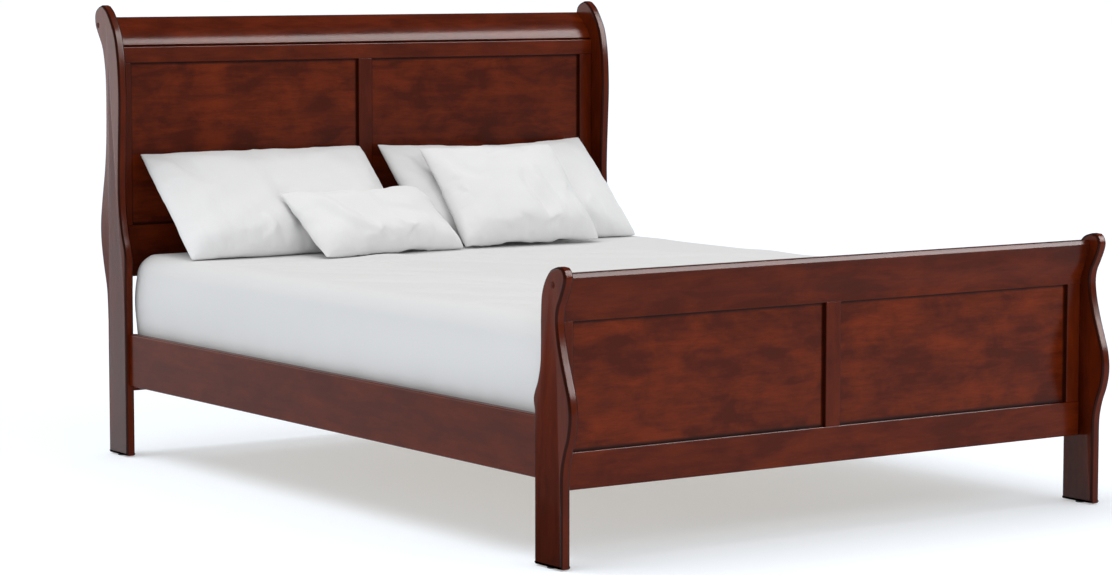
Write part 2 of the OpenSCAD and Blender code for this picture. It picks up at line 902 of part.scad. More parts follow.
// A pillow leaning back on the mattress, raised until its lower edge clears it
module pillow(place, w, h, front, back) {
    lift = soft_gap + edge_rise(h + 2 * blunt, back) * cos(place[2]);
    color(cotton)
        translate([place[0], head_y - place[1], mattress_top + lift])
            rotate([0, 0, place[3]])
                rotate([place[2], 0, 0])
                    pillow_body(w, h, front, back);
}

module pillow_left() { pillow(pillow_left_place, large_w, large_h, large_front, large_back); }
module pillow_right() { pillow(pillow_right_place, large_w, large_h, large_front, large_back); }
module square_cushion() { pillow(square_place, square_w, square_h, square_front, square_back); }
module small_pillow() { pillow(small_place, small_w, small_h, small_front, small_back); }

head_post_left();
head_post_right();
head_crest();
head_top_rail();
head_middle_rail();
head_lower_rail();
head_stile_left();
head_stile_centre();
head_stile_right();
head_panel_left();
head_panel_right();
foot_post_left();
foot_post_right();
foot_crest_rail();
foot_lower_rail();
foot_stile_left();
foot_stile_centre();
foot_stile_right();
foot_panel_left();
foot_panel_right();
side_rail_left();
side_rail_right();
cleat_left();
cleat_right();
cleat_screws();
hook_plates();
slot_plates();
plate_screws();
frame_dowels();
crest_screws();
post_plugs();
floor_glides();
centre_beam();
beam_brackets();
bracket_screws();
centre_leg();
leg_bolt();
leg_insert();
leveller_screw();
leveller_foot();
for (i = [1:slat_count])
    slat(i - 1);
slat_screws();
mattress();
pillow_left();
pillow_right();
square_cushion();
small_pillow();
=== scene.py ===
# %% [markdown]
# # A sleigh bed, piece by piece
# A sleigh bed has curved posts at its head and foot, like the runners of a sleigh. The frame that
# comes in below has every board in its true place. This lesson gives each board a rounded,
# stained surface, and makes the mattress, its sheet and the pillows as soft things.

# %% Load the frame
import math
import bmesh
import bpy
import numpy as np
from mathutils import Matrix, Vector


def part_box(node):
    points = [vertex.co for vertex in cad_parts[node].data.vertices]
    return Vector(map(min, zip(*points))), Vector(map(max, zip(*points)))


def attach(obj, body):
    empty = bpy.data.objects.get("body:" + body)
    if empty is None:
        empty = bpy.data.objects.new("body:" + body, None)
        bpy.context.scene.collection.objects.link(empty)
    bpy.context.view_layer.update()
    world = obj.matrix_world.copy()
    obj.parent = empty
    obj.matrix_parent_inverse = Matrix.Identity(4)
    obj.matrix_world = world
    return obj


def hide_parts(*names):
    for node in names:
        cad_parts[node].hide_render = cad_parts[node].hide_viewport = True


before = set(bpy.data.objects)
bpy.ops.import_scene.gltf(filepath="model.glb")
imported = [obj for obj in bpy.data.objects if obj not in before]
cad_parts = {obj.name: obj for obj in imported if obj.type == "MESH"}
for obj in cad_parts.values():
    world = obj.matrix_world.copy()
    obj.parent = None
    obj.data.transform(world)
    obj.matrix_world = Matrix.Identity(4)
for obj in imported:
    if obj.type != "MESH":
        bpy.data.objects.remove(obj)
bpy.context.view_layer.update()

# %% [markdown]
# The camera stands at the foot's left corner, a little above the footboard, with a long lens. A
# long lens keeps the posts upright and the far rail nearly as large as the near one.

# %% Camera
EYE = Vector((-4.902, -7.002, 1.3325))
SIGHT = Vector((0.5655, 0.8189, -0.0978))
LENS_MM = 107.84

camera = bpy.data.objects.new("camera", bpy.data.cameras.new("camera"))
bpy.context.scene.collection.objects.link(camera)
camera.location = EYE
camera.rotation_euler = SIGHT.to_track_quat("-Z", "Y").to_euler()
camera.data.lens = LENS_MM
camera.data.clip_end = 300
bpy.context.scene.camera = camera
print("camera at", tuple(round(c, 2) for c in EYE))

# %% [markdown]
# A node tree is easier to read as a sum than as a web of boxes. The class below wraps one output
# of a node, so that `light * 0.5 + dark` adds the Math nodes that it says. Colours go through
# `blend`, because a Math node turns a colour grey.

# %% Shader arithmetic
def as_input(tree, socket, value):
    """Puts a value, or the wire of another node, into a socket."""
    if isinstance(value, Wire):
        tree.links.new(value.socket, socket)
    else:
        socket.default_value = value


class Wire:
    """One output of a node. Arithmetic on it adds Math nodes."""

    def __init__(self, finish, socket):
        self.finish, self.socket = finish, socket

    def math(self, operation, a, b):
        return self.finish.node("ShaderNodeMath", {"operation": operation}, {0: a, 1: b})

    def __add__(self, other): return self.math("ADD", self, other)
    def __radd__(self, other): return self.math("ADD", other, self)
    def __sub__(self, other): return self.math("SUBTRACT", self, other)
    def __rsub__(self, other): return self.math("SUBTRACT", other, self)
    def __mul__(self, other): return self.math("MULTIPLY", self, other)
    def __rmul__(self, other): return self.math("MULTIPLY", other, self)


class Finish:
    """A material and the nodes that make it."""

    def __init__(self, name):
        self.material = bpy.data.materials.new(name)
        self.material.use_nodes = True
        self.tree = self.material.node_tree
        self.tree.nodes.clear()
        self.shader = self.tree.nodes.new("ShaderNodeBsdfPrincipled")
        out = self.tree.nodes.new("ShaderNodeOutputMaterial")
        self.tree.links.new(self.shader.outputs[0], out.inputs[0])

    def node(self, kind, settings=None, sockets=None, out=0):
        """Adds one node. Its settings come first, then its sockets by name or number."""
        n = self.tree.nodes.new(kind)
        for key, value in (settings or {}).items():
            if key == "stops":
                ramp = n.color_ramp
                while len(ramp.elements) < len(value):
                    ramp.elements.new(0.5)
                for element, (place, shade) in zip(ramp.elements, value):
                    element.position = place
                    element.color = (shade, shade, shade, 1)
            else:
                setattr(n, key, value)
        for key, value in (sockets or {}).items():
            as_input(self.tree, n.inputs[key], value)
        return Wire(self, n.outputs[out])

    def place(self, scale=(1, 1, 1)):
        """The point on the piece. A scale under 1 draws a pattern out along its axis."""
        coords = self.node("ShaderNodeTexCoord", out="Object")
        return self.node("ShaderNodeMapping", {}, {"Vector": coords, "Scale": scale})

    def noise(self, where, scale, detail=3.0, rough=0.5, warp=0.0):
        """Soft noise with about `scale` lumps in a metre."""
        return self.node("ShaderNodeTexNoise", {},
                         {"Vector": where, "Scale": scale, "Detail": detail,
                          "Roughness": rough, "Distortion": warp})

    def ramp(self, value, *stops):
        """A value passed through a curve of (place, shade) stops."""
        return self.node("ShaderNodeValToRGB", {"stops": stops}, {"Fac": value})

    def blend(self, share, low, high):
        """Colour low where share is 0 and high where it is 1.

        A Mix node for colours has its factor in socket 0, its colours in 6 and 7, and its result
        in output 2."""
        n = self.tree.nodes.new("ShaderNodeMix")
        n.data_type = "RGBA"
        for key, value in ((0, share), (6, low), (7, high)):
            as_input(self.tree, n.inputs[key], value)
        return Wire(self, n.outputs[2])

    def bump(self, height, strength, distance):
        """A normal that tilts with the slope of a height, `distance` metres for a height of 1."""
        return self.node("ShaderNodeBump", {},
                         {"Height": height, "Strength": strength, "Distance": distance})

    def set(self, **sockets):
        """Fills the shader's sockets, such as Base_Color=..., and returns the material."""
        for key, value in sockets.items():
            as_input(self.tree, self.shader.inputs[key.replace("_", " ")], value)
        return self.material


print("shader arithmetic ready")

# %% [markdown]
# Stained cherry is not one brown. The stain takes unevenly, so there are soft blotches a hand
# wide, long grain in the board's own direction, and fine pores. Each board needs its grain along
# its length, so the same recipe is made three times, with the grain along X, Y or Z, and once more
# for the panels, whose veneer is redder and glossier. An attribute called `edge` mixes in a
# near-black brown. It darkens the rounded rims, and it is painted shade in the recesses round the
# panels, on faces that turn away from the front and towards the top of the footboard's crest.

# %% Stained wood
DARK_STAIN = (0.056, 0.0072, 0.0019, 1)
MID_STAIN = (0.100, 0.0125, 0.0026, 1)
WARM_STAIN = (0.225, 0.0300, 0.0045, 1)
# Near-black brown mixed in by the edge attribute: a dark rim on rounded edges, painted shade in
# recesses and on faces turned from the front, and the dark tone of the plugs.
SHADE_AND_GLAZE = (0.012, 0.0026, 0.0014, 1)
GRAIN_SHARE, PORE_SHARE = 0.16, 0.035


def drawn_out(along, share):
    """A scale that makes a pattern 1 / share times as long along one axis."""
    return [share if axis == along else 1.0 for axis in range(3)]


def stained_wood(name, along, warmth=0.5, gloss=0.15, figure=0.45):
    """Cherry stain with its grain along one axis: blotches, long grain, pores, and near-black where
    the edge attribute darkens the rims and paints shade.

    Blotches are 1 / figure times as long as they are wide."""
    f = Finish(name)
    grain_at, blotch_at, pore_at = (f.place(drawn_out(along, share))
                                    for share in (GRAIN_SHARE, figure, PORE_SHARE))
    blotch = f.noise(blotch_at, 13.0, detail=4.0, rough=0.58, warp=0.4)
    blotch = f.ramp(blotch, (0.22, 0), (0.78, 1))
    grain = f.noise(grain_at, 52.0, detail=6.0, rough=0.60, warp=0.5)
    grain = f.ramp(grain, (0.24, 0), (0.78, 1))
    pores = f.ramp(f.noise(pore_at, 900.0, rough=0.55), (0.36, 0), (0.60, 1))
    edge = f.node("ShaderNodeAttribute", {"attribute_name": "edge"}, out="Fac")
    tone = blotch * 0.62 + grain * 0.38
    stain = f.blend(tone, DARK_STAIN, MID_STAIN)
    stain = f.blend(f.ramp(tone, (0.35, 0.0), (1.0, warmth)), stain, WARM_STAIN)
    stain = f.blend((1.0 - pores) * 0.30, stain, DARK_STAIN)
    # The edge attribute blends towards near-black: dark rims, and painted shade in recesses and on
    # faces turned from the front.
    stain = f.blend(edge * 0.80, stain, SHADE_AND_GLAZE)
    return f.set(Base_Color=stain, Roughness=gloss + (1.0 - pores) * 0.08 + blotch * 0.04,
                 Normal=f.bump(grain * 0.5 + pores, strength=0.06, distance=0.0004),
                 Specular_IOR_Level=0.085)


wood_x = stained_wood("stained_wood_across", 0, warmth=0.55)
wood_y = stained_wood("stained_wood_lengthways", 1, warmth=0.25)
wood_z = stained_wood("stained_wood_upright", 2, warmth=0.30)
panel_wood = stained_wood("stained_panel", 0, warmth=0.95, gloss=0.11, figure=0.65)
print("four stained woods")

# %% [markdown]
# A board that is shaped in its side view, such as a post, is that outline carried straight
# through its thickness. A router then rounds its edges over. The rounding is a quarter circle of
# radius r: at angle a the outline moves in by r(1 - cos a) while the face moves out by r sin a. The
# same function makes rails, stiles and panels from a rounded rectangle.

# %% Outlines and boards
SUPPORT = 0.0008


def smooth_line(points, steps=6):
    """A Catmull-Rom curve through the points, ends included.

    Between points b and c, with a before and d after, the curve at t is
    (2b + (c - a) t + (2a - 5b + 4c - d) t^2 + (3b - a - 3c + d) t^3) / 2."""
    p = np.asarray(points, float)
    q = np.vstack([p[:1], p, p[-1:]])
    a, b, c, d = (q[k:len(q) - 3 + k, None, :] for k in range(4))
    t = (np.arange(steps) / steps)[None, :, None]
    curve = (2 * b + (c - a) * t + (2 * a - 5 * b + 4 * c - d) * t**2
             + (3 * b - a - 3 * c + d) * t**3) / 2
    return np.vstack([curve.reshape(-1, 2), p[-1:]])


def inset(outline, depth):
    """The closed outline moved inwards by depth, with mitred corners.

    Each point moves along m = (n1 + n2) / (1 + n1 . n2), where n1 and n2 are the inward normals of
    its two sides."""
    side = np.roll(outline, -1, 0) - outline
    side /= np.linalg.norm(side, axis=1, keepdims=True)
    n2 = np.stack([-side[:, 1], side[:, 0]], 1)
    n1 = np.roll(n2, 1, 0)
    mitre = (n1 + n2) / (1 + (n1 * n2).sum(1, keepdims=True))
    return outline + depth * mitre


def rounded_rectangle(low, high, radius, steps=4, beyond=SUPPORT):
    """Four quarter circles of that radius, joined by straight sides, counterclockwise.

    One more point lies a little beyond each end of each arc, along its tangent, and keeps the
    shading of the straight sides flat."""
    one = np.concatenate([[0], np.linspace(0, 1, steps + 1), [1]])
    angle = np.concatenate([one + k for k in range(4)]) * math.pi / 2
    past = np.tile(np.concatenate([[-beyond], np.zeros(steps + 1), [beyond]]), 4)[:, None]
    corner = np.repeat(np.array([[1, 1], [-1, 1], [-1, -1], [1, -1]], float), steps + 3, axis=0)
    middle, half = (np.array(low) + high) / 2, (np.array(high) - low) / 2
    out, tangent = (np.stack(pair, 1) for pair in ((np.cos(angle), np.sin(angle)),
                                                   (-np.sin(angle), np.cos(angle))))
    return middle + corner * (half - radius) + radius * out + past * tangent


def make_object(name, points, faces, material):
    """A mesh object at the origin, its faces outwards and shaded smooth."""
    mesh = bpy.data.meshes.new(name)
    mesh.from_pydata(points.tolist(), [], faces)
    mesh.shade_smooth()
    mesh.materials.append(material)
    mesh.update()
    piece = bpy.data.objects.new(name, mesh)
    bpy.context.scene.collection.objects.link(piece)
    return piece


def band_faces(rings, per_ring):
    """Four-sided faces between rings of points that follow one another."""
    i = np.arange(per_ring)
    first = (np.arange(rings - 1) * per_ring)[:, None]
    a, b = first + i, first + (i + 1) % per_ring
    return np.stack([a, b, b + per_ring, a + per_ring], -1).reshape(-1, 4)


def board(name, outline, axis, low, high, radius, material, arc=6, darkening=1.0, stations=()):
    """An outline carried along an axis from low to high, its two rims rounded over.

    Ring k has its outline inset by r(1 - cos a) at a distance r(1 - sin a) inside the face, for a
    from 0 to a quarter turn. One more ring lies just past each end of that quarter turn and keeps
    the shading of the flat faces flat. Stations are further rings along the way."""
    turn = np.linspace(0, math.pi / 2, arc + 1)
    depth = np.concatenate([[0], radius * (1 - np.cos(turn)), [radius + SUPPORT]])
    inside = np.concatenate([[radius + SUPPORT], radius * (1 - np.sin(turn)), [0]])
    # The rings of the rounded rims are darkened by the given amount, through the edge attribute.
    dark = np.concatenate([[0, 0], np.full(arc, darkening), [0]])
    rings = [(depth[k], low + inside[k], dark[k]) for k in range(arc + 2, -1, -1)]
    rings += [(0, at, 0) for at in stations]
    rings += [(depth[k], high - inside[k], dark[k]) for k in range(arc + 3)]
    count = len(outline)
    flat = np.concatenate([inset(outline, d) for d, _, _ in rings])
    along = np.repeat([a for _, a, _ in rings], count)
    points = np.zeros((len(flat), 3))
    points[:, axis] = along
    points[:, (axis + 1) % 3] = flat[:, 0]
    points[:, (axis + 2) % 3] = flat[:, 1]
    faces = band_faces(len(rings), count)
    faces = faces.tolist() + [list(range(count))[::-1], list(range(len(flat) - count, len(flat)))]
    piece = make_object(name, points, faces, material)
    rim = np.repeat([shade for _, _, shade in rings], count).astype(np.float32)
    piece.data.attributes.new("edge", "FLOAT", "POINT").data.foreach_set("value", rim)
    return piece


def points_of(piece):
    """The piece's points, one row each."""
    at = np.zeros(len(piece.data.vertices) * 3)
    piece.data.vertices.foreach_get("co", at)
    return at.reshape(-1, 3)


def paint_shade(piece, shade):
    """Says how much painted shade darkens each point, from 0 to 1."""
    piece.data.attributes["edge"].data.foreach_set("value", shade.astype(np.float32))


def counterclockwise(outline):
    """The same outline, in the order that has its inside on the left."""
    x, y = outline.T
    area = (x * np.roll(y, -1) - y * np.roll(x, -1)).sum()
    return outline if area > 0 else outline[::-1]


print("a rounded square has", len(rounded_rectangle((0, 0), (1, 1), 0.1)), "points")

# %% [markdown]
# The S of each post is drawn on a template first. Its points are given as a distance behind the
# frame's face and a height, in millimetres: up the back edge, over the scroll and down the front.
# The head post curls backwards and the foot post forwards.

# %% Post templates
FOOT_H, HEAD_H = 669.0, 1212.0
GLIDE_H = 3.0
FRAME_T = 20.0
SAME_POINT = 0.05
MM = 1000

foot_back = [(55, 345), (60, 371), (54, 391), (43, 414), (34, 452), (32, 500), (32, FOOT_H - 124),
             (30, FOOT_H - 78), (25, FOOT_H - 54), (14, FOOT_H - 31), (-6, FOOT_H - 9),
             (-33, FOOT_H)]
foot_front = [(-49, FOOT_H - 1), (-58, FOOT_H - 9), (-63, FOOT_H - 25), (-58, FOOT_H - 44),
              (-46, FOOT_H - 70), (-35, FOOT_H - 92), (-31, FOOT_H - 120), (-36, FOOT_H - 158),
              (-48, 467), (-63, 424), (-78, 380), (-83, 338), (-76, 296), (-61, 257), (-52, 220),
              (-50, 185)]
head_back = [(25, 363), (30, 444), (48, 514), (60, 575), (61, 630), (50, 695), (34, 770),
             (25, HEAD_H - 372), (21.5, HEAD_H - 290), (21.5, HEAD_H - 212), (27, HEAD_H - 160),
             (39, HEAD_H - 115), (60, HEAD_H - 82), (75, HEAD_H - 59), (80, HEAD_H - 36),
             (75, HEAD_H - 18), (61, HEAD_H - 7), (40, HEAD_H)]
head_front = [(29, HEAD_H - 2), (6, HEAD_H - 18), (-17, HEAD_H - 48), (-36, HEAD_H - 81),
              (-48, HEAD_H - 126), (-55, HEAD_H - 180), (-58, HEAD_H - 251), (-55, HEAD_H - 325),
              (-50, 790), (-48, 710), (-53, 650), (-65, 597), (-78, 560), (-82, 525), (-79, 440)]


def in_metres(edge, face_y):
    """A closed outline from millimetres behind the frame's face to the bed's own metres.

    A point less than SAME_POINT from the next one is left out."""
    keep = np.append(np.linalg.norm(np.diff(edge, axis=0), axis=1) > SAME_POINT, True)
    return counterclockwise(edge[keep] / MM + np.array([face_y, 0]))


def post_outline(back, front, face_y):
    """The two edges of a post, joined over its top and squared off at its glide."""
    edge = np.vstack([smooth_line(back), smooth_line(front)])
    foot = [(edge[0, 0] - 1, GLIDE_H), (edge[0, 0], GLIDE_H), (edge[0, 0], GLIDE_H + 1)]
    toe = [(edge[-1, 0], GLIDE_H + 1), (edge[-1, 0], GLIDE_H), (edge[-1, 0] + 1, GLIDE_H)]
    return in_metres(np.vstack([foot, edge, toe]), face_y)


foot_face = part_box("foot_lower_rail")[0].y
head_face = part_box("head_lower_rail")[0].y
POST_ROUND = 0.0055
posts = {}
for end, back, front, face in (("foot", foot_back, foot_front, foot_face),
                               ("head", head_back, head_front, head_face)):
    shape = post_outline(back, front, face)
    for side in ("left", "right"):
        node = f"{end}_post_{side}"
        low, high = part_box(node)
        posts[node] = board(f"{node}_wood", shape, 0, low.x, high.x, POST_ROUND, wood_z)
        print(node, "outline has", len(shape), "points; box", [round(v, 4) for v in (*low, *high)])

# %% [markdown]
# The crest of the headboard is a roll that hooks over the back, and the crest rail of the
# footboard is a shallow S. Both are one moulding run between the posts, so each is a section
# carried along X. Its ends are left almost sharp, because they meet the posts.

# %% Crests
foot_crest_front = [(-23.5, FOOT_H - 17), (-26.4, FOOT_H - 18.2), (-27.4, FOOT_H - 20.2),
                    (-29.3, FOOT_H - 23.8), (-31.2, FOOT_H - 27.4), (-30.6, FOOT_H - 30),
                    (-26, FOOT_H - 42), (-18, FOOT_H - 67), (-8, FOOT_H - 92),
                    (-1, FOOT_H - 112), (0, FOOT_H - 126)]
foot_crest_back = [(FRAME_T, FOOT_H - 126), (FRAME_T - 1, FOOT_H - 112), (14, FOOT_H - 88),
                   (6, FOOT_H - 56), (1, FOOT_H - 34), (-3, FOOT_H - 20), (-9, FOOT_H - 17)]
head_crest_front = [(75, HEAD_H - 33), (70, HEAD_H - 36), (53, HEAD_H - 50), (37, HEAD_H - 63),
                    (20, HEAD_H - 83), (11, HEAD_H - 98), (8, HEAD_H - 107)]
QUIRK = [(13, HEAD_H - 107), (13, HEAD_H - 112)]
head_crest_back = [(42, HEAD_H - 112), (49, HEAD_H - 95), (61, HEAD_H - 76), (73, HEAD_H - 55)]
SHARP = 0.0004
# How much painted shade the footboard's crest gets at its top, and how fast it grows with height.
CREST_SHADE, CREST_POWER = 0.42, 1.5


def crest(node, runs, face_y):
    """A section made of smooth runs joined at corners, carried between the posts."""
    section = in_metres(np.vstack(runs), face_y)
    low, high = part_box(node)
    piece = board(f"{node}_wood", section, 0, low.x, high.x, SHARP, wood_x, arc=2, darkening=0)
    return piece, section


head_runs = [smooth_line(head_crest_front), QUIRK, smooth_line(head_crest_back)]
foot_runs = [smooth_line(foot_crest_front), smooth_line(foot_crest_back)]
head_roll, head_section = crest("head_crest", head_runs, head_face)
foot_roll, foot_section = crest("foot_crest_rail", foot_runs, foot_face)

# Painted shade on the footboard's crest, darker towards its top: at a share h of its height,
# CREST_SHADE h^CREST_POWER.
low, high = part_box("foot_crest_rail")
climb = np.clip((points_of(foot_roll)[:, 2] - low.z) / (high.z - low.z), 0, 1)
paint_shade(foot_roll, CREST_SHADE * climb**CREST_POWER)
print("crest sections:", len(head_section), "and", len(foot_section), "points")

# %% [markdown]
# Rails, stiles and panels are plain boards. A rail runs across, a stile stands up, and a panel
# sits in grooves behind them. Each takes its place from its own box in the frame, with its long
# edges eased by two millimetres so that they catch a thin light.

# %% Boards of the two end frames
# The ease is a radius. The number beside it is how much painted shade darkens the faces of the
# board that turn away from the front.
EASE, RIM_SHADE = 0.0022, 0.9
SIDE_EASE, SIDE_SHADE = 0.0035, 0.3
PANEL_ROUND = 0.001
# Painted shade of the recess round each panel: full within LINE_DARK of the frame, gone at
# LINE_FADE.
LINE_DARK, LINE_FADE, LINE_SHADE = 0.0035, 0.0085, 1.0
STILE_ENDS = {"foot": ("foot_lower_rail", "foot_crest_rail"),
              "head": ("head_middle_rail", "head_top_rail")}


def plain_board(node, axis, material, radius=EASE, darkening=RIM_SHADE):
    """A board that fills its node's box, with eased long edges."""
    low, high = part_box(node)
    if "stile" in node:
        below, above = STILE_ENDS[node.split("_")[0]]
        low.z, high.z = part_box(below)[1].z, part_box(above)[0].z
    a, b = (axis + 1) % 3, (axis + 2) % 3
    outline = rounded_rectangle((low[a], low[b]), (high[a], high[b]), radius)
    piece = board(f"{node}_wood", outline, axis, low[axis], high[axis], SHARP, material, arc=2,
                  darkening=0)
    # Painted shade on the faces that turn away from the front.
    darken(piece, darkening, 0 if node.startswith("side") else 1)
    return piece


def panel_board(node):
    """A panel with a line of painted shade along the frame round it, where its recess lies.

    The lines of its grid lie at the frame's edge, then LINE_DARK and LINE_FADE inside it. The
    painted shade is full up to the second and gone at the third."""
    end, _, side = node.split("_")
    below, above = STILE_ENDS[end]
    beside = ("left", "centre") if side == "left" else ("centre", "right")
    stiles = [f"{end}_stile_{place}" for place in beside]
    low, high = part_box(node)
    seen_low = np.array([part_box(stiles[0])[1].x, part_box(below)[1].z])
    seen_high = np.array([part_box(stiles[1])[0].x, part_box(above)[0].z])
    steps = np.array([0, LINE_DARK, LINE_FADE])[:, None]
    lines = np.vstack([seen_low + steps, (seen_high - steps)[::-1]])
    outline = rounded_rectangle((low.y, low.z), (high.y, high.z), PANEL_ROUND)
    extra = np.vstack([np.column_stack([np.full(len(lines), y), lines[:, 1]])
                       for y in (low.y, high.y)])
    outline = np.vstack([outline, extra])
    middle = np.array([(low.y + high.y) / 2, (low.z + high.z) / 2])
    reach = (outline - middle) / np.array([high.y - low.y, high.z - low.z])
    outline = outline[np.argsort(np.arctan2(reach[:, 1], reach[:, 0]))]
    piece = board(f"{node}_wood", outline, 0, low.x, high.x, SHARP, panel_wood, arc=2, darkening=0,
                  stations=lines[:, 0])
    at = points_of(piece)[:, [0, 2]]
    far = np.minimum(at - seen_low, seen_high - at).min(1)
    # Painted shade along the recess round the panel.
    paint_shade(piece, LINE_SHADE * np.clip((LINE_FADE - far) / (LINE_FADE - LINE_DARK), 0, 1))
    return piece


def darken(piece, darkening, face_axis):
    """Painted shade on what doesn't face out: edge = amount (1 - n^2), where n is the normal's
    share along the board's face."""
    n = np.zeros(len(piece.data.vertices) * 3)
    piece.data.vertex_normals.foreach_get("vector", n)
    paint_shade(piece, darkening * (1 - n.reshape(-1, 3)[:, face_axis] ** 2))


boards = {}
for node in ("foot_lower_rail", "head_lower_rail", "head_middle_rail", "head_top_rail"):
    boards[node] = plain_board(node, 0, wood_x)
for end in ("foot", "head"):
    for place in ("left", "centre", "right"):
        boards[f"{end}_stile_{place}"] = plain_board(f"{end}_stile_{place}", 2, wood_z)
    for side in ("left", "right"):
        boards[f"{end}_panel_{side}"] = panel_board(f"{end}_panel_{side}")
for side in ("left", "right"):
    boards[f"side_rail_{side}"] = plain_board(f"side_rail_{side}", 1, wood_y, SIDE_EASE, SIDE_SHADE)
print(len(boards), "boards")

# %% [markdown]
# A wooden plug hides the screw that holds each crest to its post. It is a low dome in a hole a
# little wider than itself: its height falls as 1 - 0.8 (r / R)^2, and a dark ring lies round it.

# %% Plugs
PLUG_R, PLUG_RISE, PLUG_FALL = 0.007, 0.0012, 0.8
LIP, GROOVE, SKIRT = 0.00015, -0.0004, -0.0006
PLUG_SIDES = 24
plug_finish = Finish("plug_wood")
plug_shade = plug_finish.noise(plug_finish.place(scale=(1, 1, 0.3)), 400.0)
plug_wood = plug_finish.set(Base_Color=plug_finish.blend(plug_shade, SHADE_AND_GLAZE, MID_STAIN),
                            Roughness=0.45, Specular_IOR_Level=0.04)


def plugs(places):
    """One dome for each (x, direction, y, z), with a groove, a lip and a skirt round it.

    Its rings have the radius R t, and inside the groove the height rise (1 - 0.8 t^2)."""
    t = np.array([1.25, 1.2, 1.0, 0.98, 0.8, 0.6, 0.4, 0.2, 0.02])
    rise = np.where(t > 1.1, LIP, np.where(t > 0.99, GROOVE, PLUG_RISE * (1 - PLUG_FALL * t**2)))
    rise[0] = SKIRT
    around = np.linspace(0, 2 * math.pi, PLUG_SIDES, endpoint=False)
    points, faces = [], []
    for x, way, y, z in places:
        ring = np.stack([np.broadcast_to(x + way * rise[:, None], (len(t), PLUG_SIDES)),
                         y + way * PLUG_R * t[:, None] * np.cos(around),
                         z + PLUG_R * t[:, None] * np.sin(around)], -1)
        start = sum(len(p) for p in points)
        last = start + PLUG_SIDES * (len(t) - 1)
        points.append(ring.reshape(-1, 3))
        faces += (band_faces(len(t), PLUG_SIDES) + start).tolist()
        faces.append(list(range(last, last + PLUG_SIDES)))
        faces.append(list(range(start, start + PLUG_SIDES))[::-1])
    return make_object("post_plug_domes", np.vstack(points), faces, plug_wood)


post_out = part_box("foot_post_right")[1].x
plug_places = [(way * post_out, way, face + dy, z)
               for way in (-1, 1)
               for face, dy, z in ((foot_face, -0.017, (FOOT_H - 41) / MM),
                                   (head_face, 0.060, (HEAD_H - 54) / MM))]
plug_piece = plugs(plug_places)
print(len(plug_places), "plugs")

# %% [markdown]
# Under the mattress everything is plainer: sawn pine slats on pine cleats, a pine beam and leg,
# zinc plated screws and plates, and black plastic glides. These pieces keep their shape from the
# frame and get a finish of their own.

# %% Plain pine, zinc and plastic
PALE, DEEP = (0.64, 0.50, 0.34, 1), (0.46, 0.32, 0.18, 1)
PINE_SHARE = 0.07
DULL_ZINC, BRIGHT_ZINC = (0.42, 0.43, 0.45, 1), (0.66, 0.67, 0.68, 1)
BLACK, WORN_BLACK = (0.012, 0.012, 0.012, 1), (0.030, 0.030, 0.031, 1)


def pine(name, along):
    """Sawn pine: broad pale rings stretched along the board, with darker late wood."""
    f = Finish(name)
    here = f.place(drawn_out(along, PINE_SHARE))
    ring = f.ramp(f.noise(here, 38.0, rough=0.55, warp=1.4), (0.35, 0), (0.70, 1))
    fibre = f.noise(here, 700.0, detail=2.0)
    colour = f.blend(ring * 0.6 + fibre * 0.2, PALE, DEEP)
    return f.set(Base_Color=colour, Roughness=0.62 + fibre * 0.15,
                 Normal=f.bump(fibre + ring * 0.4, strength=0.25, distance=0.0005))


def zinc():
    """Zinc plate: pale grey metal with a faint crystalline bloom."""
    f = Finish("zinc_steel")
    bloom = f.noise(f.place(), 220.0, detail=4.0, rough=0.6)
    return f.set(Base_Color=f.blend(bloom, DULL_ZINC, BRIGHT_ZINC), Metallic=1.0,
                 Roughness=0.26 + bloom * 0.18,
                 Normal=f.bump(bloom, strength=0.15, distance=0.0002))


def black_plastic():
    """Moulded plastic: nearly black, with a fine spark texture."""
    f = Finish("glide_plastic")
    spark = f.noise(f.place(), 2600.0, detail=2.0)
    return f.set(Base_Color=f.blend(spark, BLACK, WORN_BLACK), Roughness=0.45 + spark * 0.12,
                 Normal=f.bump(spark, strength=0.3, distance=0.0001))


pine_x, pine_y, pine_z = pine("pine_across", 0), pine("pine_lengthways", 1), pine("pine_upright", 2)
zinc_plate, plastic = zinc(), black_plastic()
plain_finish = {"cleat_left": pine_y, "cleat_right": pine_y, "centre_beam": pine_y,
                "centre_leg": pine_z, "frame_dowels": pine_x, "floor_glides": plastic,
                "leveller_foot": plastic}
for i in range(1, 13):
    plain_finish[f"slat_{i}"] = pine_x
for node in ("cleat_screws", "hook_plates", "slot_plates", "plate_screws", "crest_screws",
             "beam_brackets", "bracket_screws", "leg_bolt", "leg_insert", "leveller_screw",
             "slat_screws"):
    plain_finish[node] = zinc_plate
for node, finish in plain_finish.items():
    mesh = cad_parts[node].data
    mesh.materials.clear()
    mesh.materials.append(finish)
print(len(plain_finish), "plain pieces")

# %% [markdown]
# White cotton is matt, with a weave of one thread in about 0.6 millimetres. The threads are
# two crossed waves in the bump. A slow, faint unevenness keeps a large white area from looking
# like paper.

# %% White cotton
ONE_TURN = 6.2832


